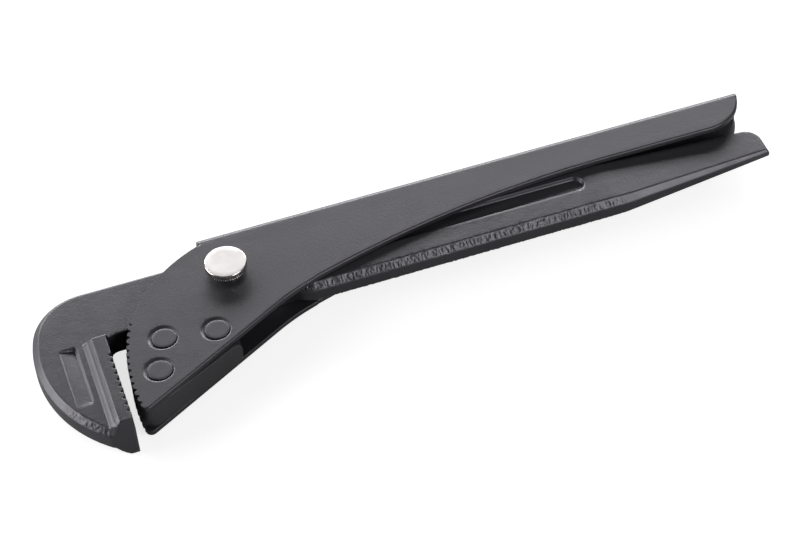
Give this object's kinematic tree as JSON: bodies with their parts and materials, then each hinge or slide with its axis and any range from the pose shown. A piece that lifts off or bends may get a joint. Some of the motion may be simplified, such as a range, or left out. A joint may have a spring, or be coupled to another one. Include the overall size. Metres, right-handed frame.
{
  "type": "pipe wrench",
  "caption": "Two-lever pipe wrench: a forged hook lever pinned by a knurled screw in a folded steel channel lever with a toothed heel jaw.",
  "frame": {"origin": "on the pivot's axis, in the plane of the channel's lower cheek, the face that the wrench lies on", "axes": "+X along the channel's back towards the handle ends, +Y from the pivot towards the channel's back, +Z along the pivot's axis towards the knurled head"},
  "size_m": [0.3041, 0.0806, 0.0223],
  "materials": {
    "channel_paint": "satin black enamel on folded sheet steel",
    "lever_paint": "satin black enamel on a rough steel forging",
    "jaw_paint": "satin black enamel, toothed edge",
    "rivet_paint": "satin black enamel over flush rivet heads",
    "screw_plate": "bright nickel plate with turned face and knurled rim"
  },
  "bodies": {
    "channel": {"channel_lever": "channel_paint", "heel_jaw": "jaw_paint", "jaw_rivet_upper": "rivet_paint", "jaw_rivet_lower": "rivet_paint", "jaw_rivet_rear": "rivet_paint"},
    "lever": {"hook_lever": "lever_paint"},
    "screw": {"pivot_screw": "screw_plate"}
  },
  "joints": [
    {"name": "jaw_hinge", "type": "hinge", "parent": "channel", "child": "lever", "pos_m": [0, 0, 0.008], "axis": [0, 0, -1], "range_deg": [-3.5, 26]},
    {"name": "screw_pull", "type": "slide", "parent": "channel", "child": "screw", "axis": [0, 0, 1], "range_m": [0, 0.016]}
  ]
}
